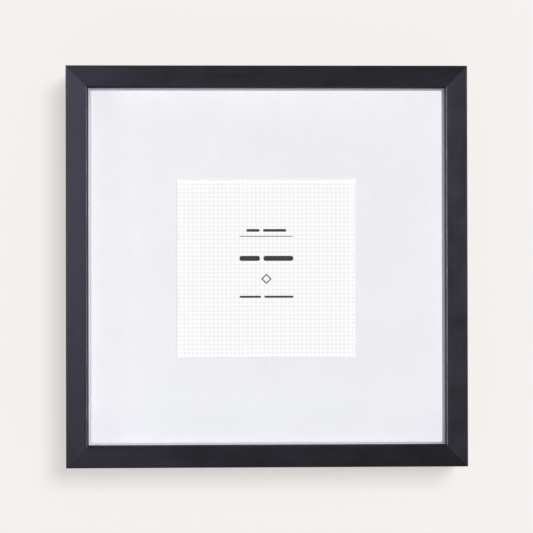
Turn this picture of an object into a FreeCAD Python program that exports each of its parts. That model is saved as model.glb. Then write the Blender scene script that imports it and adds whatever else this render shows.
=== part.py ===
import FreeCAD, Part
import math
import os
import re

import Sketcher

# A square box frame for showing a picture or small objects behind glass.
# Millimetres. +X is to the right seen from the front, the front faces -Y and +Z is up.
# The origin is under the middle of the frame, on the surface that it stands on.
#
# Every piece is drawn about the middle of the front face, with depth counted backwards
# from that face, and then placed. The four sides are alike, so whatever lies along a
# side is drawn along the bottom and turned about the depth axis in quarter turns.

SIZES = {
    "outer_size": (250, "outside width and height"),
    "rail_depth": (35, "front face to the back of the rails"),
    "rail_width": (13.5, "front face of a rail"),
    "side_wall": (9.5, "rail behind its front lip"),
    "lip_depth": (8, "front lip that holds the glass"),
    "outer_arris": (0.8, "rounded outside front edge"),
    "inner_arris": (0.8, "bevelled inside front edge"),
    "back_arris": (0.4, "softened outside back edge"),
    "sheet_play": (0.5, "gap between a sheet and the rebate on each side"),
    "glass_thick": (2, "glass"),
    "glass_seam": (0.25, "ground edges of the glass"),
    "spacer_depth": (20, "spacer strips, glass to mount"),
    "spacer_thick": (3.5, "spacer strips"),
    "spacer_play": (0.2, "gap between a spacer and the rebate"),
    "mount_thick": (1.5, "mount board"),
    "window_size": (112, "opening of the mount at the print"),
    "window_drop": (1.2, "window's middle below the frame's middle"),
    "card_thick": (0.4, "print card"),
    "backing_thick": (3, "backing board"),
    "backing_arris": (0.4, "softened back edges of the backing board"),
    "stand_off": (3.5, "bumpers, from the rails to the wall"),
    "button_offset": (60, "turn button pivot from the middle of its rail"),
    "button_reach": (17, "turn button pivot to its tip"),
    "button_root": (4.25, "rounded pivot end of a turn button"),
    "button_tip": (2.9, "rounded tip of a turn button"),
    "button_thick": (1, "turn button"),
    "button_play": (0.15, "gap on each side of a turn button"),
    "button_hole": (1.6, "turn button hole radius"),
    "button_ease": (0.2, "rounded edges of a turn button and its rib"),
    "rib_start": (6.2, "turn button pivot to the stamped rib"),
    "rib_end": (13.6, "turn button pivot to the far end of the rib"),
    "rib_radius": (1, "half width of the stamped rib"),
    "rib_height": (0.4, "stamped rib"),
    "screw_shank": (1.5, "screw radius"),
    "screw_length": (12, "screw below its head"),
    "screw_point": (2.5, "length of a screw's point"),
    "screw_head": (2.8, "screw head radius"),
    "head_rim": (0.7, "straight rim of a screw head"),
    "head_height": (1.7, "screw head"),
    "recess_long": (2.8, "cross recess, end to end"),
    "recess_wide": (0.6, "cross recess, across one arm"),
    "recess_deep": (0.9, "cross recess"),
    "staple_corner": (3.5, "corner nail from the outside faces"),
    "staple_leg": (7, "corner nail leg"),
    "staple_thick": (0.5, "corner nail strip"),
    "staple_deep": (10, "corner nail, along the depth"),
    "staple_sunk": (0.5, "corner nail below the back face"),
    "hanger_long": (45, "sawtooth hanger"),
    "hanger_high": (8, "sawtooth hanger"),
    "hanger_thick": (0.7, "sawtooth hanger strip, and the inside of its bends"),
    "hanger_tab": (7, "flat nailed end of the hanger"),
    "hanger_ramp": (4, "sloping part beside each nailed end"),
    "hanger_rise": (2.3, "hanger's middle off the rail"),
    "tooth_pitch": (2.5, "sawtooth hanger"),
    "tooth_high": (1.6, "sawtooth hanger"),
    "tooth_count": (8, "sawtooth hanger"),
    "nail_shank": (0.7, "hanger nail radius"),
    "nail_head": (1.6, "hanger nail head radius"),
    "nail_head_high": (0.5, "hanger nail head"),
    "nail_length": (9, "hanger nail below its head"),
    "nail_point": (1.6, "hanger nail point"),
    "nail_inset": (3.5, "hanger nail from the end of the strip"),
    "bumper_offset": (108, "bumper from the middle of the bottom rail"),
    "bumper_radius": (4.25, "wall bumper"),
    "bumper_rim": (1.2, "straight side of a bumper"),
    "bumper_top": (2, "flat face of a bumper, radius"),
    "bumper_round": (2.6, "rounded shoulder of a bumper"),
}

# Quarter turns that carry the bottom rail to each side of the frame.
SIDES = {"bottom": 0, "left": 90, "top": 180, "right": 270}

# Where the two turn buttons of a side end up, lower offset first.
BUTTON_ENDS = {
    "bottom": ("left", "right"),
    "left": ("upper", "lower"),
    "top": ("right", "left"),
    "right": ("lower", "upper"),
}

# Lengths that several pieces share, as formulas.
HALF = "outer_size / 2"
OPENING = "(outer_size / 2 - rail_width)"
REBATE = "(outer_size / 2 - side_wall)"
SHEET = "(outer_size / 2 - side_wall - sheet_play)"
WALL_LINE = "(outer_size / 2 - side_wall / 2)"
SPACER_FRONT = "(lip_depth + glass_thick)"
MOUNT_FRONT = "(lip_depth + glass_thick + spacer_depth)"
CARD_FRONT = "(lip_depth + glass_thick + spacer_depth + mount_thick)"
BACKING_FRONT = "(lip_depth + glass_thick + spacer_depth + mount_thick + card_thick)"
BUTTON_FRONT = "(rail_depth + button_play)"
HEAD_FRONT = "(rail_depth + 2 * button_play + button_thick)"

doc = FreeCAD.newDocument("box_frame")
sheet = doc.addObject("Spreadsheet::Sheet", "Sizes")
for row, (alias, (size, note)) in enumerate(SIZES.items(), start=1):
    sheet.set(f"A{row}", note)
    sheet.set(f"B{row}", str(size))
    sheet.setAlias(f"B{row}", alias)
doc.recompute()


def formula(text):
    """Point the size names in a formula at the spreadsheet."""
    return re.sub(r"[a-z_]+", lambda word: "Sizes." + word[0] if word[0] in SIZES else word[0], text)


def value(text):
    """Work out a formula now, in millimetres."""
    return float(sheet.evalExpression(formula(text)))


def bind(thing, path, text):
    """Keep a property of an object equal to a formula."""
    thing.setExpression(path, formula(text))


# Sketches. Plane XZ looks at the frame from the front and is set back by a depth; plane
# XY looks down on it, with the depth along its second axis.


def new_body(name):
    """Start a piece: its label names its file."""
    body = doc.addObject("PartDesign::Body", name)
    body.Label = name
    return body


def new_sketch(body, plane="XZ", depth="0", across="0", up="0"):
    """Add a sketch on one of the body's own planes, moved by formulas."""
    planes = {item.Role: item for item in body.Origin.OriginFeatures}
    sketch = body.newObject("Sketcher::SketchObject", body.Name + "_outline")
    sketch.AttachmentSupport = [(planes[plane + "_Plane"], "")]
    sketch.MapMode = "FlatFace"
    shifts = (across, up, f"-({depth})") if plane == "XZ" else (across, depth, up)
    for axis, shift in zip("xyz", shifts):
        if shift != "0":
            bind(sketch, "AttachmentOffset.Base." + axis, shift)
    return sketch


def measure(sketch, kind, places, text):
    """Add a dimension that follows a formula."""
    index = sketch.addConstraint(Sketcher.Constraint(kind, *places, value(text)))
    bind(sketch, f"Constraints[{index}]", text)


def pin(sketch, edge, end, corner):
    """Hold one end of an edge at a pair of formulas."""
    measure(sketch, "DistanceX", (-1, 1, edge, end), corner[0])
    measure(sketch, "DistanceY", (-1, 1, edge, end), corner[1])


def vector(corner):
    """Turn a pair of formulas into a point of a sketch."""
    return FreeCAD.Vector(value(corner[0]), value(corner[1]), 0)


def bulge(start, end, radius):
    """Make the arc that runs anticlockwise from one point to another, outwards."""
    half_chord = (end - start) * 0.5
    reach = math.sqrt(radius ** 2 - half_chord.Length ** 2)
    towards_middle = FreeCAD.Vector(-half_chord.y, half_chord.x, 0).normalize()
    centre = start + half_chord + towards_middle * reach
    angles = [math.atan2(spot.y - centre.y, spot.x - centre.x) for spot in (start, end)]
    return Part.ArcOfCircle(Part.Circle(centre, FreeCAD.Vector(0, 0, 1), radius), *angles)


def outline(sketch, corners):
    """Draw a closed outline through corners that are pairs of formulas.

    A corner with a third formula is followed by an arc of that radius. Such outlines run
    anticlockwise, and the arc bulges outwards.
    """
    first = sketch.GeometryCount
    count = len(corners)
    spots = [vector(corner) for corner in corners]
    for index, corner in enumerate(corners):
        ends = spots[index], spots[(index + 1) % count]
        if len(corner) == 3:
            sketch.addGeometry(bulge(*ends, value(corner[2])), False)
        else:
            sketch.addGeometry(Part.LineSegment(*ends), False)
    for index, corner in enumerate(corners):
        edge = first + index
        sketch.addConstraint(Sketcher.Constraint("Coincident", edge, 2, first + (index + 1) % count, 1))
        pin(sketch, edge, 1, corner)
        if len(corner) == 3:
            measure(sketch, "Radius", (edge,), corner[2])


def square(sketch, half):
    """Draw a square about the sketch's origin."""
    outline(sketch, [(f"-{half}", f"-{half}"), (half, f"-{half}"), (half, half), (f"-{half}", half)])


def circle(sketch, radius, across="0", up="0"):
    """Draw a circle."""
    ring = Part.Circle(vector((across, up)), FreeCAD.Vector(0, 0, 1), value(radius))
    edge = sketch.addGeometry(ring, False)
    pin(sketch, edge, 3, (across, up))
    measure(sketch, "Radius", (edge,), radius)


def link(sketch, low, low_radius, high, high_radius):
    """Draw a bar up the sketch's own second axis, with a round end about each point."""
    low_at, high_at = value(low), value(high)
    low_r, high_r = value(low_radius), value(high_radius)
    turn = FreeCAD.Vector(0, 0, 1)
    low_ring = Part.Circle(FreeCAD.Vector(0, low_at, 0), turn, low_r)
    high_ring = Part.Circle(FreeCAD.Vector(0, high_at, 0), turn, high_r)
    bottom = sketch.addGeometry(Part.ArcOfCircle(low_ring, math.pi, 2 * math.pi), False)
    right = sketch.addGeometry(
        Part.LineSegment(FreeCAD.Vector(low_r, low_at, 0), FreeCAD.Vector(high_r, high_at, 0)), False)
    top = sketch.addGeometry(Part.ArcOfCircle(high_ring, 0, math.pi), False)
    left = sketch.addGeometry(
        Part.LineSegment(FreeCAD.Vector(-high_r, high_at, 0), FreeCAD.Vector(-low_r, low_at, 0)), False)
    for edge, following in ((bottom, right), (right, top), (top, left), (left, bottom)):
        sketch.addConstraint(Sketcher.Constraint("Tangent", edge, 2, following, 1))
    pin(sketch, bottom, 3, ("0", low))
    pin(sketch, top, 3, ("0", high))
    measure(sketch, "Radius", (bottom,), low_radius)
    measure(sketch, "Radius", (top,), high_radius)


# Features.


def pad(body, sketch, depth):
    """Thicken a front outline backwards."""
    feature = body.newObject("PartDesign::Pad", body.Name + "_pad")
    feature.Profile = sketch
    feature.Reversed = True
    bind(feature, "Length", depth)
    doc.recompute()
    return feature


def pad_up(body, sketch, height):
    """Thicken a plan outline equally up and down."""
    feature = body.newObject("PartDesign::Pad", body.Name + "_pad")
    feature.Profile = sketch
    feature.Midplane = True
    bind(feature, "Length", height)
    doc.recompute()
    return feature


def pocket(body, sketch, depth=None, forwards=False):
    """Cut a front outline backwards, or forwards, right through if no depth is given."""
    before = body.Shape.Volume
    feature = body.newObject("PartDesign::Pocket", body.Name + "_pocket")
    feature.Profile = sketch
    feature.Reversed = forwards
    if depth is None:
        feature.Type = "ThroughAll"
    else:
        bind(feature, "Length", depth)
    doc.recompute()
    if body.Shape.Volume > before - 1e-6:
        raise RuntimeError(f"{feature.Name} cuts nothing")
    return feature


def edges_where(feature, wanted):
    """Name the edges whose middle point passes a test."""
    names = []
    for index, edge in enumerate(feature.Shape.Edges, start=1):
        middle = edge.valueAt((edge.FirstParameter + edge.LastParameter) / 2)
        if wanted(middle):
            names.append(f"Edge{index}")
    return names


def ease(body, kind, size, wanted):
    """Round or bevel the edges whose middle point passes a test."""
    base = body.Tip
    feature = body.newObject("PartDesign::" + kind, body.Name + "_" + kind.lower())
    feature.Base = (base, edges_where(base, wanted))
    bind(feature, "Radius" if kind == "Fillet" else "Size", size)
    doc.recompute()
    return feature


def near(number, text):
    """Tell whether a coordinate is where a formula says."""
    return abs(number - value(text)) < 1e-3


def revolve(body, sketch):
    """Turn a half outline about the sketch's second axis."""
    feature = body.newObject("PartDesign::Revolution", body.Name + "_turned")
    feature.Profile = sketch
    feature.ReferenceAxis = (sketch, ["V_Axis"])
    feature.Angle = 360
    doc.recompute()
    return feature


def repeat(body, originals, steps):
    """Repeat features by a list of patterns, giving separate solids in one piece."""
    body.AllowCompound = True
    pattern = body.newObject("PartDesign::MultiTransform", body.Name + "_repeats")
    axes = {item.Role: item for item in body.Origin.OriginFeatures}
    made = []
    for kind, axis, size, count in steps:
        step = doc.addObject("PartDesign::" + kind, body.Name + "_" + kind.lower())
        body.addObject(step)
        if kind == "LinearPattern":
            step.Direction = (axes[axis + "_Axis"], [""])
            bind(step, "Length", size)
        else:
            step.Axis = (axes[axis + "_Axis"], [""])
            bind(step, "Angle", size)
        bind(step, "Occurrences", count)
        made.append(step)
    pattern.Originals = originals
    pattern.Transformations = made
    body.Tip = pattern
    doc.recompute()
    return pattern


def place(body, side="bottom", along="0", inward="0", depth="0"):
    """Put a piece on a side: along the rail, in from the middle of the frame, and back."""
    angle = SIDES[side]
    body.Placement = FreeCAD.Placement(
        FreeCAD.Vector(), FreeCAD.Rotation(FreeCAD.Vector(0, 1, 0), angle))
    bind(body, "Placement.Base.x", f"({along}) * cos({angle} deg) - ({inward}) * sin({angle} deg)")
    bind(body, "Placement.Base.y", f"({depth}) - (rail_depth + stand_off) / 2")
    bind(body, "Placement.Base.z",
         f"outer_size / 2 - ({along}) * sin({angle} deg) - ({inward}) * cos({angle} deg)")


# The frame's wood.


def mitred(sketch, outer, inner):
    """Draw a strip along the bottom whose ends are cut at 45 degrees."""
    outer_edge = [(f"-{outer}", f"-{outer}"), (outer, f"-{outer}")]
    inner_edge = [(inner, f"-{inner}"), (f"-{inner}", f"-{inner}")]
    outline(sketch, outer_edge + inner_edge)


def staple_outline(sketch, way):
    """Draw the angle of a corner nail, its legs along the two rails that it joins."""
    out = "(outer_size / 2 - staple_corner)"
    back = "(outer_size / 2 - staple_corner - staple_thick)"
    end = "(outer_size / 2 - staple_corner - staple_leg)"
    corners = [(out, out), (end, out), (end, back), (back, back), (back, end), (out, end)]
    if way > 0:
        outline(sketch, [(across, f"-{up}") for across, up in corners])
    else:
        outline(sketch, [(f"-{across}", f"-{up}") for across, up in corners])


def rail(side):
    """One mitred moulding: a front lip, a rebate behind it, and holes for its fasteners."""
    body = new_body(side + "_rail")
    face = new_sketch(body)
    mitred(face, f"({HALF})", OPENING)
    pad(body, face, "rail_depth")
    rebate = new_sketch(body, depth="lip_depth")
    deep_inner = "(outer_size / 2 - side_wall - rail_width)"
    mitred(rebate, REBATE, deep_inner)
    pocket(body, rebate)
    pilots = new_sketch(body, depth="rail_depth")
    circle(pilots, "screw_shank", "-button_offset", f"-{WALL_LINE}")
    circle(pilots, "screw_shank", "button_offset", f"-{WALL_LINE}")
    pocket(body, pilots, "screw_length - 2 * button_play - button_thick", forwards=True)
    slots = new_sketch(body, depth="rail_depth")
    staple_outline(slots, 1)
    staple_outline(slots, -1)
    pocket(body, slots, "staple_deep + staple_sunk", forwards=True)
    if side == "top":
        nail_holes = new_sketch(body, depth="rail_depth")
        nail_at = "(hanger_long / 2 - nail_inset)"
        circle(nail_holes, "nail_shank", f"-{nail_at}", f"-{WALL_LINE}")
        circle(nail_holes, "nail_shank", nail_at, f"-{WALL_LINE}")
        pocket(body, nail_holes, "nail_length - hanger_thick", forwards=True)
    ease(body, "Fillet", "outer_arris", lambda spot: near(spot.y, "0") and near(-spot.z, HALF))
    ease(body, "Chamfer", "inner_arris", lambda spot: near(spot.y, "0") and near(-spot.z, OPENING))
    ease(body, "Chamfer", "back_arris", lambda spot: near(spot.y, "rail_depth") and near(-spot.z, HALF))
    place(body, side)
    return body


def corner_nails():
    """The four angled strips driven across the mitres from behind."""
    body = new_body("corner_nails")
    shape = new_sketch(body, depth="rail_depth - staple_sunk - staple_deep")
    staple_outline(shape, 1)
    nail = pad(body, shape, "staple_deep")
    repeat(body, [nail], [("PolarPattern", "Y", "360", "4")])
    place(body)
    return body


# The sheets and spacers that lie in the rebate, front to back.


def sheet_board(name, front, thickness):
    """A square sheet that fits the rebate."""
    body = new_body(name)
    shape = new_sketch(body, depth=front)
    square(shape, SHEET)
    pad(body, shape, thickness)
    place(body)
    return body


def glass_pane():
    """Clear glass with ground edges."""
    body = sheet_board("glass_pane", "lip_depth", "glass_thick")
    ease(body, "Chamfer", "glass_seam", lambda spot: True)
    return body


def spacer(side):
    """A mitred strip that holds the mount away from the glass."""
    body = new_body(side + "_spacer")
    shape = new_sketch(body, depth=SPACER_FRONT)
    outer = "(outer_size / 2 - side_wall - spacer_play)"
    inner = "(outer_size / 2 - side_wall - spacer_play - spacer_thick)"
    mitred(shape, outer, inner)
    pad(body, shape, "spacer_depth")
    place(body, side)
    return body


def mount_board():
    """A mount with a square window, cut with a 45 degree bevel that opens to the front."""
    body = sheet_board("mount_board", MOUNT_FRONT, "mount_thick")
    window = new_sketch(body, depth=CARD_FRONT, up="-window_drop")
    square(window, "(window_size / 2)")
    cut = pocket(body, window, "mount_thick", forwards=True)
    cut.TaperAngle = 45
    doc.recompute()
    return body


def backing_board():
    """The board that closes the back."""
    body = sheet_board("backing_board", BACKING_FRONT, "backing_thick")
    back = "(lip_depth + glass_thick + spacer_depth + mount_thick + card_thick + backing_thick)"
    ease(body, "Chamfer", "backing_arris", lambda spot: near(spot.y, back))
    return body


# The fittings on the back.


def turn_button(side, end, along):
    """A flat steel button that turns on its screw to hold or free the backing board."""
    body = new_body(f"turn_button_{side}_{end}")
    shape = new_sketch(body)
    link(shape, "0", "button_root", "(button_reach - button_tip)", "button_tip")
    pad(body, shape, "button_thick")
    ease(body, "Fillet", "button_ease", lambda spot: near(spot.y, "button_thick"))
    rib = new_sketch(body, depth="button_thick")
    link(rib, "rib_start", "rib_radius", "rib_end", "rib_radius")
    pad(body, rib, "rib_height")
    ease(body, "Fillet", "button_ease", lambda spot: near(spot.y, "button_thick + rib_height"))
    hole = new_sketch(body)
    circle(hole, "button_hole")
    pocket(body, hole)
    place(body, side, along=along, inward=WALL_LINE, depth=BUTTON_FRONT)
    return body


def screw_outline(sketch):
    """Half the outline of a pan head screw, its axis up the sketch and its head on top."""
    rise = "(head_height - head_rim)"
    dome = f"((screw_head ^ 2 + {rise} ^ 2) / (2 * {rise}))"
    outline(sketch, [
        ("0", "-screw_length"),
        ("screw_shank", "screw_point - screw_length"),
        ("screw_shank", "0"),
        ("screw_head", "0"),
        ("screw_head", "head_rim", dome),
        ("0", "head_height"),
    ])


def turn_button_screws():
    """The eight cross-head screws that the turn buttons pivot on."""
    body = new_body("turn_button_screws")
    shape = new_sketch(body, "XY", depth=HEAD_FRONT, across="-button_offset", up=f"-{WALL_LINE}")
    screw_outline(shape)
    screw = revolve(body, shape)
    top = f"({HEAD_FRONT} + head_height)"
    recess = new_sketch(body, depth=top, across="-button_offset", up=f"-{WALL_LINE}")
    long = "(recess_long / 2)"
    wide = "(recess_wide / 2)"
    quarter = [(long, wide), (wide, wide), (wide, long)]
    arms = quarter + [(f"-{across}", up) for across, up in reversed(quarter)]
    arms += [(f"-{across}", f"-{up}") for across, up in quarter]
    arms += [(across, f"-{up}") for across, up in reversed(quarter)]
    outline(recess, arms)
    cross = pocket(body, recess, "recess_deep", forwards=True)
    repeat(body, [screw, cross], [
        ("LinearPattern", "X", "2 * button_offset", "2"),
        ("PolarPattern", "Y", "360", "4"),
    ])
    place(body)
    return body


def bend_test(across, back):
    """Make the test for the two upright edges of the hanger at one bend."""
    return lambda spot: near(abs(spot.x), across) and near(spot.y, f"rail_depth + {back}")


def sawtooth_hanger():
    """A bowed steel strip nailed at both ends, with teeth along its lower edge."""
    body = new_body("sawtooth_hanger")
    plan = new_sketch(body, "XY", depth="rail_depth")
    end = "(hanger_long / 2)"
    bend = "(hanger_long / 2 - hanger_tab)"
    flat = "(hanger_long / 2 - hanger_tab - hanger_ramp)"
    raised = "(hanger_rise + hanger_thick)"
    inner = [(end, "0"), (bend, "0"), (flat, "hanger_rise")]
    outer = [(flat, raised), (bend, "hanger_thick"), (end, "hanger_thick")]
    corners = inner + [(f"-{across}", back) for across, back in reversed(inner)]
    corners += [(f"-{across}", back) for across, back in reversed(outer)] + outer
    outline(plan, corners)
    pad_up(body, plan, "hanger_high")
    holes = new_sketch(body, depth="rail_depth + hanger_thick")
    nail_at = "(hanger_long / 2 - nail_inset)"
    circle(holes, "nail_shank", nail_at)
    circle(holes, "nail_shank", f"-{nail_at}")
    pocket(body, holes, forwards=True)
    tooth = new_sketch(body, depth="rail_depth", up="-hanger_high / 2")
    start = "(-tooth_count * tooth_pitch / 2)"
    outline(tooth, [(start, "-1"), (f"({start} + tooth_pitch)", "-1"), (f"({start} + tooth_pitch)", "0"),
                    (f"({start} + tooth_pitch / 2)", "tooth_high"), (start, "0")])
    notch = pocket(body, tooth)
    repeat(body, [notch], [("LinearPattern", "X", "tooth_pitch * (tooth_count - 1)", "tooth_count")])
    for across, tight, wide in ((bend, "hanger_thick", "0"), (flat, "hanger_rise", raised)):
        ease(body, "Fillet", "hanger_thick", bend_test(across, tight))
        ease(body, "Fillet", "2 * hanger_thick", bend_test(across, wide))
    place(body, depth="0", inward=f"-{WALL_LINE}")
    return body


def hanger_nails():
    """The two nails that hold the hanger."""
    body = new_body("hanger_nails")
    nail_at = "(hanger_long / 2 - nail_inset)"
    shape = new_sketch(body, "XY", depth="rail_depth + hanger_thick", across=f"-{nail_at}", up=WALL_LINE)
    outline(shape, [
        ("0", "-nail_length"),
        ("nail_shank", "nail_point - nail_length"),
        ("nail_shank", "0"),
        ("nail_head", "0"),
        ("nail_head", "(nail_head_high / 2)"),
        ("(nail_head / 2)", "nail_head_high"),
        ("0", "nail_head_high"),
    ])
    nail = revolve(body, shape)
    repeat(body, [nail], [("LinearPattern", "X", f"2 * {nail_at}", "2")])
    place(body)
    return body


def bumper(name, along):
    """A soft domed button that keeps the frame's foot off the wall."""
    body = new_body(name)
    shape = new_sketch(body, "XY")
    outline(shape, [
        ("0", "0"),
        ("bumper_radius", "0"),
        ("bumper_radius", "bumper_rim", "bumper_round"),
        ("bumper_top", "stand_off"),
        ("0", "stand_off"),
    ])
    revolve(body, shape)
    place(body, along=along, inward=WALL_LINE, depth="rail_depth")
    return body


def make_pieces():
    """Make every piece of the frame."""
    pieces = [rail(side) for side in SIDES]
    pieces.append(corner_nails())
    pieces.append(glass_pane())
    pieces += [spacer(side) for side in SIDES]
    pieces.append(mount_board())
    pieces.append(sheet_board("print_card", CARD_FRONT, "card_thick"))
    pieces.append(backing_board())
    for side, ends in BUTTON_ENDS.items():
        pieces.append(turn_button(side, ends[0], "-button_offset"))
        pieces.append(turn_button(side, ends[1], "button_offset"))
    pieces.append(turn_button_screws())
    pieces.append(sawtooth_hanger())
    pieces.append(hanger_nails())
    pieces.append(bumper("left_bumper", "-bumper_offset"))
    pieces.append(bumper("right_bumper", "bumper_offset"))
    return pieces


def check(pieces):
    """Stop if anything failed to compute."""
    doc.recompute()
    for thing in doc.Objects:
        if "Invalid" in thing.State or "Error" in thing.State:
            raise RuntimeError(f"{thing.Label} failed: {thing.State}")
    for piece in pieces:
        if piece.Shape.isNull() or not piece.Shape.isValid():
            raise RuntimeError(f"{piece.Label} has no valid shape")


def write(pieces):
    """Write one STEP file for each piece."""
    os.makedirs("parts", exist_ok=True)
    for piece in pieces:
        piece.Shape.exportStep(f"parts/{piece.Label}.step")
        box = piece.Shape.BoundBox
        size = f"{box.XLength:.2f} x {box.YLength:.2f} x {box.ZLength:.2f} mm"
        print(f"{piece.Label}: {len(piece.Shape.Solids)} solid(s), {piece.Shape.Volume:.1f} mm3, {size}")


pieces = make_pieces()
check(pieces)
write(pieces)
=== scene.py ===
"""Looks for a square black shadow box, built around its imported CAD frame.

The CAD nodes keep their shapes and take procedural finishes here. The printed marks on the card
are new pieces. The wall, the floor, the lamps and the camera are the photo studio around it.
Lengths are in metres: X to the right, Y away from the camera, Z up.
"""

import math

import bmesh
import bpy
from mathutils import Matrix, Vector


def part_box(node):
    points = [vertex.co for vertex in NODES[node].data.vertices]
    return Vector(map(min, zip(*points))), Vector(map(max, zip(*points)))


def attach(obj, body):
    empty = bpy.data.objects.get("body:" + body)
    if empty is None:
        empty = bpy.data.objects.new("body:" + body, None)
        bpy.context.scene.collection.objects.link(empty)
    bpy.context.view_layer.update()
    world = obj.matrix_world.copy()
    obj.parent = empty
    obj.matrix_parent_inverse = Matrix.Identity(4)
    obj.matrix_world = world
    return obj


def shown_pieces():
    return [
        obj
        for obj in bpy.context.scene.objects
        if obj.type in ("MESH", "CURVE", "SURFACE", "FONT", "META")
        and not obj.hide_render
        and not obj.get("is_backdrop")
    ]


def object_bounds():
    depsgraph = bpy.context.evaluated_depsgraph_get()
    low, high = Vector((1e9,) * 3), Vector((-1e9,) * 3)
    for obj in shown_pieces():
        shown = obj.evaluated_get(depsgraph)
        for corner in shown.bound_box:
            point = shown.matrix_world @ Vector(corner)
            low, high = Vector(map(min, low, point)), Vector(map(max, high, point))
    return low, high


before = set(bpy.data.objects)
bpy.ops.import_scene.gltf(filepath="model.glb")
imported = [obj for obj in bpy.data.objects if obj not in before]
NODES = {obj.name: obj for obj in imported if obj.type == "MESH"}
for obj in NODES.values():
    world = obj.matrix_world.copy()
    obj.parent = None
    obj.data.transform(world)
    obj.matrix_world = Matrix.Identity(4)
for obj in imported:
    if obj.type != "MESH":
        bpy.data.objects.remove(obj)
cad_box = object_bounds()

MM = 0.001

# The frame's outer faces, its middle height and its opening, read from the CAD boxes.
FRONT = cad_box[0].y
BACK = cad_box[1].y
HALF = cad_box[1].x
MIDDLE = (cad_box[0].z + cad_box[1].z) / 2
OPENING_HALF = -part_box("left_rail")[1].x

# Rails: the lip in front of the glass, and the foil that ends a little way round the back edge.
LIP_DEPTH = 8 * MM
FOIL_LAP = 2 * MM
FOIL_EDGE_WANDER = 0.3 * MM
# The width over which the faces in the opening turn rougher and take a darker black of painted
# shade.
DULL_AND_PAINTED_SHADE_ARRIS = 0.3 * MM
GRAIN_STRETCH = 0.035

# Mount: how far from its left and bottom edges painted shade darkens its colour.
PAINTED_SHADE_WIDTH = 30 * MM

# Print: the dot grid, the marks, and how far the ink stands out of the card and sinks into it.
DOT_PITCH = 2.677 * MM
INK_PROUD = 0.02 * MM
INK_SUNK = 0.02 * MM
WINDOW_DROP = 1.2 * MM
WORD_GAP = 2.2 * MM
RULE_SIZE = (34.0 * MM, 0.45 * MM)
RULE_ROUNDING = 0.2 * MM
BAR_ROUNDING = 0.45
DIAMOND_OUTER = 3.3 * MM
DIAMOND_INNER = 2.3 * MM
ARC_STEPS = 6

# What each face of the glass lets through, for every ray but the camera's own.
GLASS_LETS_THROUGH = (0.958, 0.963, 0.960)

# Camera: where it stands from the centre of the frame's front face, and how it is turned.
CAMERA_DISTANCE = 1.020
CAMERA_SIDE = -0.0258
CAMERA_RISE = -0.0058
CAMERA_YAW = math.radians(1.42)
CAMERA_PITCH = math.radians(0.32)
CAMERA_ROLL = math.radians(-0.118)
CAMERA_REACH = (0.05, 50.0)
SENSOR = 36.0
LENS = 110.9

# Room.
HANGING_HEIGHT = 1.4
WALL_HALF = 3.0
WALL_GAP = 0.3 * MM
WALL_HOLE_INSET = 6 * MM
FLOOR_HALF = 6.0
SQUARE_CORNERS = ((-1, -1), (1, -1), (1, 1), (-1, 1))

# Lamps: sizes, distances and colours.
TALL = (0.8, 1.2)
NARROW = (0.5, 1.2)
WIDE = (1.2, 0.8)
NEAR = 2.0
FAR = 4.0
ACROSS_THE_ROOM = 8.6
WHITE = (1.0, 1.0, 1.0)
COOL = (1.01, 0.98, 1.13)
COOLER = (1.05, 0.97, 1.42)
COOL_RIM = (1.0, 0.96, 1.18)


# ---------------------------------------------------------------- finishes

SOCKETS = {"ior": "IOR", "specular_ior_level": "Specular IOR Level"}


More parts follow.
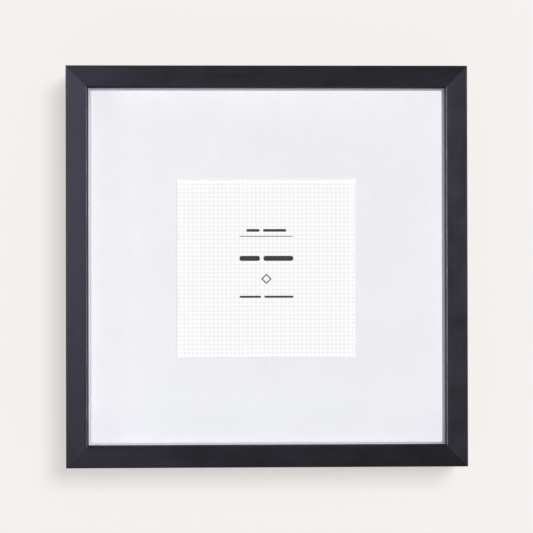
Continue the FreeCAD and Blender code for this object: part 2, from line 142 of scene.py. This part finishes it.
class Finish:
    """A material in the making: a Principled shader and the nodes that feed it."""

    def __init__(self, name, colour=(0.8, 0.8, 0.8), roughness=0.5, **sockets):
        self.material = bpy.data.materials.new(name)
        self.material.use_nodes = True
        self.tree = self.material.node_tree
        self.shader = self.tree.nodes["Principled BSDF"]
        self.spot = self.add("TexCoord").outputs["Object"]
        self.set("Base Color", (*colour, 1.0))
        self.set("Roughness", roughness)
        for socket, value in sockets.items():
            self.set(SOCKETS.get(socket, socket.replace("_", " ").title()), value)

    def set(self, socket, value):
        self.feed(self.shader.inputs[socket], value)

    def feed(self, socket, value):
        """Links the socket to another, or sets it to a plain value."""
        if isinstance(value, bpy.types.NodeSocket):
            self.tree.links.new(value, socket)
        else:
            socket.default_value = value

    def add(self, kind, inputs=None, **settings):
        """A new node with its settings made and its inputs fed."""
        made = self.tree.nodes.new("ShaderNode" + kind)
        for name, value in settings.items():
            setattr(made, name, value)
        for name, value in (inputs or {}).items():
            self.feed(made.inputs[name], value)
        return made

    def stretched(self, scale, turn=(0.0, 0.0, 0.0), shift=(0.0, 0.0, 0.0)):
        """The object's own coordinates, scaled per axis."""
        inputs = {"Vector": self.spot, "Scale": scale, "Rotation": turn, "Location": shift}
        return self.add("Mapping", inputs).outputs["Vector"]

    def noise(self, scale, detail=3.0, roughness=0.55, where=None, distortion=0.0):
        inputs = {
            "Vector": where or self.spot,
            "Scale": scale,
            "Detail": detail,
            "Roughness": roughness,
            "Distortion": distortion,
        }
        return self.add("TexNoise", inputs).outputs[0]

    def cells(self, scale, output="Distance"):
        inputs = {"Vector": self.spot, "Scale": scale}
        return self.add("TexVoronoi", inputs).outputs[output]

    def span(self, value, low, high, to_low=0.0, to_high=1.0, smooth=False):
        """value from low..high carried over to to_low..to_high, held at the ends."""
        inputs = {
            "Value": value,
            "From Min": low,
            "From Max": high,
            "To Min": to_low,
            "To Max": to_high,
        }
        kind = "SMOOTHSTEP" if smooth else "LINEAR"
        return self.add("MapRange", inputs, interpolation_type=kind).outputs["Result"]

    def calc(self, operation, first, second=0.0, third=0.0):
        made = self.add("Math", operation=operation)
        for socket, value in zip(made.inputs, (first, second, third)):
            self.feed(socket, value)
        return made.outputs["Value"]

    def axis(self, letter, of=None):
        """One part of a vector, or of the object's own coordinates."""
        split = self.add("SeparateXYZ", {"Vector": of or self.spot})
        return split.outputs[letter]

    def facing(self, letter):
        """How far a face looks along one of the object's own axes, from -1 to 1."""
        made = self.add("TexCoord")
        return self.axis(letter, made.outputs["Normal"])

    def mix(self, factor, first, second):
        """A colour between first and second."""
        made = self.add("Mix", data_type="RGBA")
        for socket, value in ((0, factor), (6, first), (7, second)):
            if isinstance(value, tuple):
                value = (*value, 1.0)
            self.feed(made.inputs[socket], value)
        return made.outputs[2]

    def blend(self, factor, first, second):
        """A number between first and second."""
        return self.add("Mix", {0: factor, 2: first, 3: second}, data_type="FLOAT").outputs[0]

    def output(self, factor, first, second):
        """The surface shows the first shader where factor is 0 and the second where it is 1."""
        both = self.add("MixShader")
        for socket, value in zip(both.inputs, (factor, first, second)):
            self.feed(socket, value)
        self.feed(self.tree.nodes["Material Output"].inputs["Surface"], both.outputs[0])

    def bump(self, height, distance, strength=1.0, after=None):
        """A normal raised by height, on top of another bump if one is given."""
        inputs = {"Height": height, "Distance": distance, "Strength": strength}
        if after is not None:
            inputs["Normal"] = after
        return self.add("Bump", inputs).outputs["Normal"]


def off_middle(finish):
    """How far a point lies sideways and how far it lies up or down from the frame's middle."""
    side = finish.calc("ABSOLUTE", finish.axis("X"))
    rise = finish.calc("ABSOLUTE", finish.calc("SUBTRACT", finish.axis("Z"), MIDDLE))
    return side, rise


def bare_mask(finish, out):
    """1 past the end of the foil, on the back of the rails and in their rebate, 0 elsewhere."""
    wander = finish.span(
        finish.noise(240.0, 3.0, 0.6), 0.3, 0.7, -FOIL_EDGE_WANDER, FOIL_EDGE_WANDER)
    reach = finish.calc("ADD", out, wander)
    edge = HALF - FOIL_LAP
    inside_lap = finish.span(reach, edge - 0.2 * MM, edge, 1.0, 0.0)
    looks_back = finish.span(finish.facing("Y"), 0.4, 0.5)
    rebate = FRONT + LIP_DEPTH + 0.4 * MM
    behind_lip = finish.span(finish.axis("Y"), rebate, rebate + 0.2 * MM)
    return finish.calc("MULTIPLY", inside_lap, finish.calc("MAXIMUM", looks_back, behind_lip))


def board_colour(finish):
    """Bare fibreboard: pale brown with fine flecks."""
    flecks = finish.noise(1500.0, 5.0, 0.7)
    return finish.mix(
        finish.span(flecks, 0.35, 0.7), (0.23, 0.145, 0.080), (0.42, 0.295, 0.180))


def rail_finish(name, along, shift):
    """Black foil with a faint wood grain along the rail, bare fibreboard at the back, and
    painted shade: a darker, rougher black in the opening.
    """
    finish = Finish("black_foil_" + name, roughness=0.42, anisotropic=0.6)
    tangent = finish.add("Tangent", direction_type="RADIAL", axis=along)
    finish.set("Tangent", tangent.outputs["Tangent"])

    scale = (GRAIN_STRETCH, 1.0, 1.0) if along == "X" else (1.0, 1.0, GRAIN_STRETCH)
    grain = finish.stretched(scale, shift=shift)
    streaks = finish.noise(420.0, 4.0, 0.6, grain, 0.4)
    fine = finish.noise(2600.0, 2.0, 0.5, grain)
    clouds = finish.noise(60.0, 3.0, 0.5)

    side, rise = off_middle(finish)
    out = finish.calc("MAXIMUM", side, rise)
    from_mitre = finish.calc("ABSOLUTE", finish.calc("SUBTRACT", side, rise))
    seam = finish.span(from_mitre, 0.05 * MM, 0.25 * MM, 1.0, 0.0, True)
    bare = bare_mask(finish, out)
    dull_and_painted_shade_in_opening = finish.span(out, OPENING_HALF, OPENING_HALF + DULL_AND_PAINTED_SHADE_ARRIS, 1.0, 0.0)

    tone = finish.calc("MULTIPLY_ADD", streaks, 0.6, finish.calc("MULTIPLY", clouds, 0.4))
    black = finish.mix(
        finish.span(tone, 0.35, 0.65), (0.0080, 0.0075, 0.0095), (0.0163, 0.0151, 0.0193))
    black = finish.mix(finish.calc("MULTIPLY", seam, 0.8), black, (0.004, 0.004, 0.005))
    # Painted shade: the foil's faces in the opening take a darker black than the rest.
    black = finish.mix(dull_and_painted_shade_in_opening, black, (0.002, 0.002, 0.003))
    finish.set("Base Color", finish.mix(bare, black, board_colour(finish)))

    satin = finish.span(finish.calc("ADD", fine, clouds), 0.75, 1.25, 0.34, 0.48)
    dull = finish.calc("MAXIMUM", bare, dull_and_painted_shade_in_opening)
    finish.set("Roughness", finish.blend(dull, satin, 0.9))

    relief = finish.calc("MULTIPLY_ADD", streaks, 0.7, finish.calc("MULTIPLY", fine, 0.3))
    raised = finish.bump(relief, 0.05 * MM, 0.75)
    sunken_seam = finish.calc("SUBTRACT", 1.0, seam)
    finish.set("Normal", finish.bump(sunken_seam, 0.10 * MM, 0.8, raised))
    return finish.material


def glass_finish():
    """Clear picture glass with a trace of green. Lamps shine through it."""
    finish = Finish(
        "clear_float_glass", (0.988, 1.0, 0.993), 0.0, transmission_weight=1.0, ior=1.5)
    smears = finish.noise(22.0, 3.0, 0.6, distortion=1.2)
    finish.set("Normal", finish.bump(smears, 0.02 * MM, 0.05))
    clear = finish.add("BsdfTransparent", {"Color": (*GLASS_LETS_THROUGH, 1.0)})
    seen = finish.add("LightPath").outputs["Is Camera Ray"]
    finish.output(seen, clear.outputs[0], finish.shader.outputs[0])
    return finish.material


def spacer_finish(name, shade):
    """White paper wrapped over foam board, with a faint tooth and a soft shine. The colour it is
    given holds painted shade: the white darkened for a spacer that lies in shadow.
    """
    finish = Finish("painted_shade_paper_wrap_" + name, roughness=0.62)
    tooth = finish.noise(3200.0, 3.0, 0.6)
    clouds = finish.noise(90.0, 3.0, 0.5)
    lighter = tuple(1.06 * part for part in shade)
    finish.set("Base Color", finish.mix(finish.span(clouds, 0.3, 0.7), shade, lighter))
    finish.set("Normal", finish.bump(tooth, 0.03 * MM, 0.5))
    return finish.material


def mount_finish():
    """Cool white mount board with a fine felt tooth and a brighter core in its cut bevel.

    Its colour is darkened with painted shade near the left and bottom spacers, which throw light
    on it, so that it looks as even as in the photograph.
    """
    finish = Finish("cool_white_mount_board", roughness=0.9)
    tooth = finish.noise(2400.0, 4.0, 0.65)
    fibres = finish.noise(500.0, 3.0, 0.6, finish.stretched((1.0, 1.0, 0.35)))
    clouds = finish.noise(25.0, 2.0, 0.5)
    shade = finish.calc("MULTIPLY_ADD", fibres, 0.5, finish.calc("MULTIPLY", clouds, 0.5))
    face = finish.mix(
        finish.span(shade, 0.35, 0.65), (0.778, 0.768, 0.805), (0.813, 0.803, 0.837))

    left = -OPENING_HALF
    bottom = MIDDLE - OPENING_HALF
    # Painted shade: darkest at the left and bottom edges of the opening, fading inwards.
    painted_shade_left = finish.span(finish.axis("X"), left, left + PAINTED_SHADE_WIDTH, 0.70, 0.0, True)
    painted_shade_bottom = finish.span(finish.axis("Z"), bottom, bottom + PAINTED_SHADE_WIDTH, 0.5, 0.0, True)
    painted_shade = finish.calc("ADD", painted_shade_left, painted_shade_bottom)
    face = finish.mix(painted_shade, face, (0.645, 0.636, 0.668))

    sideways = finish.span(finish.calc("ABSOLUTE", finish.facing("Y")), 0.8, 0.9, 1.0, 0.0)
    core = finish.mix(
        finish.span(tooth, 0.3, 0.7), (0.905, 0.898, 0.925), (0.930, 0.923, 0.950))
    finish.set("Base Color", finish.mix(sideways, face, core))
    finish.set("Normal", finish.bump(tooth, 0.05 * MM, 0.5))
    return finish.material


def card_middle():
    """The middle of the print card, as x and z."""
    low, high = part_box("print_card")
    return (low.x + high.x) / 2, (low.z + high.z) / 2


def dot_grid(finish):
    """1 in the middle of each dot of a square grid centred on the card, fading to 0."""
    squares = []
    for letter, middle in zip("XZ", card_middle()):
        along = finish.calc("SUBTRACT", finish.axis(letter), middle)
        # The 100 cells added keep the count positive over the whole card.
        cells = finish.calc("MULTIPLY_ADD", along, 1 / DOT_PITCH, 100.0)
        off_dot = finish.calc("SUBTRACT", finish.calc("FRACT", cells), 0.5)
        squares.append(finish.calc("MULTIPLY", off_dot, off_dot))
    apart = finish.calc("SQRT", finish.calc("ADD", *squares))
    return finish.span(apart, 0.08, 0.46, 1.0, 0.0, True)


def card_finish():
    """White printed card with a square grid of soft grey dots, plain paper at the back."""
    finish = Finish("printed_card", roughness=0.75)
    patchy = finish.span(finish.noise(700.0, 2.0, 0.5), 0.3, 0.7, 0.85, 1.0)
    ink = finish.calc("MULTIPLY", dot_grid(finish), patchy)
    front = finish.span(finish.facing("Y"), -0.6, -0.5, 1.0, 0.0)
    fibres = finish.noise(1800.0, 4.0, 0.6)
    white = finish.mix(
        finish.span(fibres, 0.3, 0.7), (0.896, 0.880, 0.890), (0.912, 0.896, 0.906))
    printed_here = finish.calc("MULTIPLY", ink, front)
    finish.set("Base Color", finish.mix(printed_here, white, (0.745, 0.735, 0.745)))
    finish.set("Normal", finish.bump(fibres, 0.02 * MM, 0.4))
    return finish.material


def ink_finish():
    """Dark grey printing ink, a little uneven where the paper's fibres show."""
    finish = Finish("printing_ink", roughness=0.85, specular_ior_level=0.25)
    fibres = finish.noise(2600.0, 4.0, 0.6)
    finish.set("Base Color", finish.mix(
        finish.span(fibres, 0.35, 0.75), (0.030, 0.032, 0.035), (0.048, 0.051, 0.055)))
    finish.set("Normal", finish.bump(fibres, 0.01 * MM, 0.4))
    return finish.material


def hardboard_finish():
    """Brown hardboard: long fibres pressed flat, darker flecks and a waxy face."""
    finish = Finish("brown_hardboard", roughness=0.6)
    upright = finish.noise(700.0, 6.0, 0.7, finish.stretched((1.0, 1.0, 0.25)), 1.5)
    crossed = finish.noise(700.0, 6.0, 0.7, finish.stretched((0.25, 1.0, 1.0)), 1.5)
    tangle = finish.calc("MULTIPLY_ADD", upright, 0.5, finish.calc("MULTIPLY", crossed, 0.5))
    clouds = finish.noise(30.0, 3.0, 0.5)
    flecks = finish.span(finish.cells(420.0), 0.05, 0.12, 1.0, 0.0)
    brown = finish.mix(
        finish.span(tangle, 0.38, 0.62), (0.115, 0.060, 0.030), (0.285, 0.170, 0.092))
    brown = finish.mix(finish.span(clouds, 0.3, 0.7, 0.0, 0.35), brown, (0.17, 0.10, 0.055))
    brown = finish.mix(finish.calc("MULTIPLY", flecks, 0.6), brown, (0.05, 0.028, 0.016))
    finish.set("Base Color", brown)
    finish.set("Roughness", finish.span(tangle, 0.35, 0.65, 0.68, 0.48))
    finish.set("Normal", finish.bump(tangle, 0.08 * MM, 0.6))
    return finish.material


def zinc_finish():
    """Bright zinc plate on pressed steel: spangle, fine rubbing marks and dull patches."""
    finish = Finish("zinc_plated_steel", roughness=0.35, metallic=1.0)
    spangle = finish.axis("X", finish.cells(900.0, output="Color"))
    clouds = finish.noise(180.0, 4.0, 0.6)
    rubs = finish.noise(2500.0, 3.0, 0.6, finish.stretched((1.0, 1.0, 0.06), (0.0, 0.6, 0.0)))
    finish.set("Base Color", finish.mix(
        finish.span(clouds, 0.3, 0.7), (0.50, 0.51, 0.53), (0.68, 0.69, 0.70)))
    worn = finish.calc("MULTIPLY_ADD", rubs, 0.6, finish.calc("MULTIPLY", spangle, 0.25))
    finish.set("Roughness", finish.span(worn, 0.2, 0.7, 0.24, 0.46))
    finish.set("Normal", finish.bump(worn, 0.02 * MM, 0.35))
    return finish.material


def rubber_finish():
    """Soft black rubber with a dusty bloom and a moulded grain."""
    finish = Finish("bumper_rubber", roughness=0.75)
    grain = finish.noise(2200.0, 4.0, 0.7)
    bloom = finish.noise(260.0, 3.0, 0.6)
    finish.set("Base Color", finish.mix(
        finish.span(bloom, 0.35, 0.7), (0.018, 0.018, 0.019), (0.050, 0.050, 0.052)))
    finish.set("Normal", finish.bump(grain, 0.05 * MM, 0.6))
    return finish.material


def dress(material, *names):
    """Gives CAD nodes a finish in place of the one they were packed with."""
    for name in names:
        slots = NODES[name].data.materials
        slots.clear()
        slots.append(material)


def dress_all():
    """Every CAD node takes its finish."""
    dress(rail_finish("top", "X", (0.31, 0.0, 0.0)), "top_rail")
    dress(rail_finish("bottom", "X", (0.83, 0.2, 0.4)), "bottom_rail")
    dress(rail_finish("left", "Z", (0.0, 0.5, 0.17)), "left_rail")
    dress(rail_finish("right", "Z", (0.7, 0.1, 0.59)), "right_rail")
    dress(glass_finish(), "glass_pane")
    # Painted shade: each spacer is the same white paper, darkened in its colour by the shade it
    # lies in. The shades follow the photograph, where the right and top spacers lie in shadow.
    dress(spacer_finish("left", (0.87, 0.87, 0.90)), "left_spacer")
    dress(spacer_finish("bottom", (0.70, 0.70, 0.77)), "bottom_spacer")
    dress(spacer_finish("top", (0.52, 0.52, 0.60)), "top_spacer")
    dress(spacer_finish("right", (0.40, 0.39, 0.48)), "right_spacer")
    dress(mount_finish(), "mount_board")
    dress(card_finish(), "print_card")
    dress(hardboard_finish(), "backing_board")
    steel = [name for name in NODES if name.startswith("turn_button")]
    steel += ["corner_nails", "hanger_nails", "sawtooth_hanger"]
    dress(zinc_finish(), *steel)
    dress(rubber_finish(), "left_bumper", "right_bumper")


# ---------------------------------------------------------------- printed marks

def rounded_bar(centre, width, height, radius):
    """Corner points of a bar with round ends, anticlockwise, as (x, z) pairs."""
    points = []
    corners = ((1, 1, 0.0), (-1, 1, 0.5), (-1, -1, 1.0), (1, -1, 1.5))
    for side, rise, start in corners:
        x = centre[0] + side * (width / 2 - radius)
        z = centre[1] + rise * (height / 2 - radius)
        for step in range(ARC_STEPS + 1):
            angle = math.pi * (start + 0.5 * step / ARC_STEPS)
            points.append((x + radius * math.cos(angle), z + radius * math.sin(angle)))
    return points


def bar_row(x, z, height, widths):
    """Outlines of bars side by side, one for each width, centred on x."""
    start = x - (sum(widths) + WORD_GAP * (len(widths) - 1)) / 2
    bars = []
    for width in widths:
        bars.append(rounded_bar((start + width / 2, z), width, height, height * BAR_ROUNDING))
        start += width + WORD_GAP
    return bars


def open_diamond(x, z):
    """Outlines of the four sides of a small open diamond."""
    sides = []
    for side, rise in ((1, 1), (-1, 1), (-1, -1), (1, -1)):
        outer = ((0.0, rise * DIAMOND_OUTER), (side * DIAMOND_OUTER, 0.0))
        inner = ((side * DIAMOND_INNER, 0.0), (0.0, rise * DIAMOND_INNER))
        sides.append([(x + across, z + up) for across, up in outer + inner])
    return sides


def printed(name, outlines, ink):
    """One piece of ink on the card: each outline is a thin closed slab."""
    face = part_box("print_card")[0].y
    mesh = bmesh.new()
    for outline in outlines:
        front = [mesh.verts.new((x, face - INK_PROUD, z)) for x, z in outline]
        back = [mesh.verts.new((x, face + INK_SUNK, z)) for x, z in outline]
        mesh.faces.new(front)
        mesh.faces.new(list(reversed(back)))
        for here in range(len(outline)):
            after = (here + 1) % len(outline)
            mesh.faces.new((front[here], back[here], back[after], front[after]))
    bmesh.ops.recalc_face_normals(mesh, faces=mesh.faces)
    made = bpy.data.meshes.new(name)
    mesh.to_mesh(made)
    mesh.free()
    made.materials.append(ink)
    piece = bpy.data.objects.new(name, made)
    bpy.context.scene.collection.objects.link(piece)
    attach(piece, "frame")


def print_marks():
    """Plain placeholder marks: bars for the lines of print, a rule and a small open diamond."""
    ink = ink_finish()
    x, z = card_middle()
    z -= WINDOW_DROP
    rule = rounded_bar((x, z + 20.4 * MM), *RULE_SIZE, RULE_ROUNDING)
    heading = bar_row(x, z + 24.2 * MM, 1.7 * MM, (8.4 * MM, 14.8 * MM))
    title = bar_row(x, z + 6.4 * MM, 3.2 * MM, (13.0 * MM, 19.0 * MM))
    caption = bar_row(x, z - 18.0 * MM, 1.3 * MM, (13.6 * MM, 18.4 * MM))
    printed("print_heading_bars", heading, ink)
    printed("print_rule", [rule], ink)
    printed("print_title_bars", title, ink)
    printed("print_diamond", open_diamond(x, z - 6.6 * MM), ink)
    printed("print_caption_bars", caption, ink)


# ---------------------------------------------------------------- studio

def sheet(name, corners, faces, material):
    """A flat backdrop, which is not part of the object."""
    mesh = bpy.data.meshes.new(name)
    mesh.from_pydata(corners, [], faces)
    mesh.materials.append(material)
    made = bpy.data.objects.new(name, mesh)
    bpy.context.scene.collection.objects.link(made)
    made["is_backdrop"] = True
    return made


def wall_finish():
    """Warm off-white paint that glows a little. The wall is seen from the front only."""
    finish = Finish("warm_white_wall", roughness=0.95, emission_strength=1.0,
                    emission_color=(0.593, 0.570, 0.555, 1.0), specular_ior_level=0.0)
    roller = finish.noise(300.0, 3.0, 0.6)
    finish.set("Base Color", finish.mix(
        finish.span(roller, 0.3, 0.7), (0.348, 0.335, 0.325), (0.352, 0.339, 0.329)))
    behind = finish.add("NewGeometry").outputs["Backfacing"]
    clear = finish.add("BsdfTransparent")
    finish.output(behind, finish.shader.outputs[0], clear.outputs[0])
    finish.material.cycles.emission_sampling = "NONE"
    return finish.material


def floor_finish():
    """Pale concrete. What the camera sees of it is lit evenly, and it throws little light up."""
    finish = Finish("pale_floor", roughness=0.9)
    speckle = finish.span(finish.noise(120.0, 4.0, 0.6), 0.3, 0.7)
    finish.set("Base Color", finish.mix(speckle, (0.78, 0.76, 0.74), (0.81, 0.79, 0.77)))
    even = finish.mix(speckle, (0.52, 0.51, 0.50), (0.56, 0.55, 0.54))
    glow = finish.add("Emission", {"Color": even})
    seen = finish.add("LightPath").outputs["Is Camera Ray"]
    finish.output(seen, finish.shader.outputs[0], glow.outputs[0])
    finish.material.cycles.emission_sampling = "NONE"
    return finish.material


def square_ring(inner, outer, y):
    """A square sheet facing the camera with a square hole, as corners and faces."""
    corners = []
    for half in (inner, outer):
        for side, rise in SQUARE_CORNERS:
            corners.append((side * half, y, MIDDLE + rise * half))
    faces = [(n, 4 + n, 4 + (n + 1) % 4, (n + 1) % 4) for n in range(4)]
    return corners, faces


def build_room():
    """A pale wall just behind the frame, open where the frame hides it, and a pale floor."""
    corners, faces = square_ring(HALF - WALL_HOLE_INSET, WALL_HALF, BACK + WALL_GAP)
    wall = sheet("wall", corners, faces, wall_finish())
    corners = [(side * FLOOR_HALF, rise * FLOOR_HALF, -HANGING_HEIGHT)
               for side, rise in SQUARE_CORNERS]
    sheet("floor", corners, [(0, 1, 2, 3)], floor_finish())
    return wall


def lamp(name, azimuth, rise, size, watts, lights, colour=WHITE, distance=NEAR):
    """A soft square lamp that looks at the middle of the frame and lights only some things."""
    across, up = math.radians(azimuth), math.radians(rise)
    toward = Vector((
        math.sin(across) * math.cos(up), -math.cos(across) * math.cos(up), math.sin(up)))
    light = bpy.data.lights.new(name, "AREA")
    light.shape = "RECTANGLE"
    light.size, light.size_y = size
    light.energy = watts
    light.color = colour
    made = bpy.data.objects.new(name, light)
    made.location = Vector((0.0, 0.0, MIDDLE)) + distance * toward
    made.rotation_mode = "QUATERNION"
    made.rotation_quaternion = (-toward).to_track_quat("-Z", "Y")
    made.visible_camera = False
    lit = bpy.data.collections.new(name + "_lights")
    for thing in lights:
        lit.objects.link(thing)
    made.light_linking.receiver_collection = lit
    bpy.context.scene.collection.objects.link(made)


def light_rails(bottom, left, top, right):
    """Softboxes for the rails' faces, and a rim lamp for the inner arris of each upright."""
    rails = [bottom, left, top, right]
    lamp("right_softbox", 70.0, 6.0, TALL, 20.0, [bottom, top, right])
    lamp("right_rim", 88.0, 3.0, NARROW, 36.0, [left], COOL_RIM)
    lamp("low_sheen", 22.0, -14.0, TALL, 1.2, [left])
    lamp("left_softbox", -50.0, 6.0, TALL, 9.0, rails, COOL)
    lamp("left_sheen", -25.0, 10.0, (0.7, 1.2), 11.5, rails, COOLER)
    lamp("left_rim", -86.0, 3.0, NARROW, 36.0, [right], COOL_RIM)
    lamp("top_sheen", 10.0, 50.0, WIDE, 3.8, [left, top, right])


def light_studio(wall):
    """Soft lamps as in the photograph: rails, spacers, paper and wall are each lit to match."""
    rails = [NODES[side + "_rail"] for side in ("bottom", "left", "top", "right")]
    paper = [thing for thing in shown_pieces() if thing.name.startswith("print_")]
    paper.append(NODES["mount_board"])
    rest = [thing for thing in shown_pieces() if thing not in rails + paper]
    light_rails(*rails)
    lamp("side_softbox", 70.0, 6.0, TALL, 11.0, rest)
    lamp("spacer_softbox", 70.0, 6.0, TALL, 5.0, [NODES["left_spacer"]])
    lamp("top_softbox", 10.0, 70.0, WIDE, 15.0, rest)
    lamp("paper_light", -1.4, -0.3, (0.3, 0.3), 168.0, paper, distance=FAR)
    lamp("wall_light", 18.0, 17.0, (2.9, 2.9), 612.0, [wall], distance=ACROSS_THE_ROOM)
    lamp("back_softbox", 150.0, 40.0, (1.2, 1.0), 26.0, rails + rest)
    lamp("back_fill", 215.0, 10.0, (1.0, 1.4), 14.0, rails + rest)


def surround():
    """A dim cool sky for light, which the camera sees as a warm white."""
    world = bpy.data.worlds.new("studio")
    world.use_nodes = True
    nodes, links = world.node_tree.nodes, world.node_tree.links
    light = nodes["Background"]
    light.inputs["Color"].default_value = (0.96, 0.97, 1.0, 1.0)
    light.inputs["Strength"].default_value = 0.18
    seen = nodes.new("ShaderNodeBackground")
    seen.inputs["Color"].default_value = (0.90, 0.88, 0.86, 1.0)
    seen.inputs["Strength"].default_value = 0.9
    path = nodes.new("ShaderNodeLightPath")
    both = nodes.new("ShaderNodeMixShader")
    links.new(path.outputs["Is Camera Ray"], both.inputs[0])
    links.new(light.outputs[0], both.inputs[1])
    links.new(seen.outputs[0], both.inputs[2])
    links.new(both.outputs[0], nodes["World Output"].inputs["Surface"])
    bpy.context.scene.world = world


def set_camera():
    """The camera of the photograph: nearly square on, a little left of and below the centre."""
    yaw, pitch, roll = CAMERA_YAW, CAMERA_PITCH, CAMERA_ROLL
    ahead = Vector((
        math.sin(yaw) * math.cos(pitch), math.cos(yaw) * math.cos(pitch), math.sin(pitch)))
    level = Vector((math.cos(yaw), -math.sin(yaw), 0.0))
    above = level.cross(ahead)
    right = math.cos(roll) * level + math.sin(roll) * above
    up = math.cos(roll) * above - math.sin(roll) * level
    data = bpy.data.cameras.new("camera")
    data.sensor_width = SENSOR
    data.lens = LENS
    data.clip_start, data.clip_end = CAMERA_REACH
    camera = bpy.data.objects.new("camera", data)
    turned = Matrix((right, up, -ahead)).transposed().to_4x4()
    place = Vector((CAMERA_SIDE, FRONT - CAMERA_DISTANCE, MIDDLE + CAMERA_RISE))
    camera.matrix_world = Matrix.Translation(place) @ turned
    bpy.context.scene.collection.objects.link(camera)
    bpy.context.scene.camera = camera


set_camera()
dress_all()
print_marks()
light_studio(build_room())
surround()
bpy.context.scene.view_settings.view_transform = "Standard"
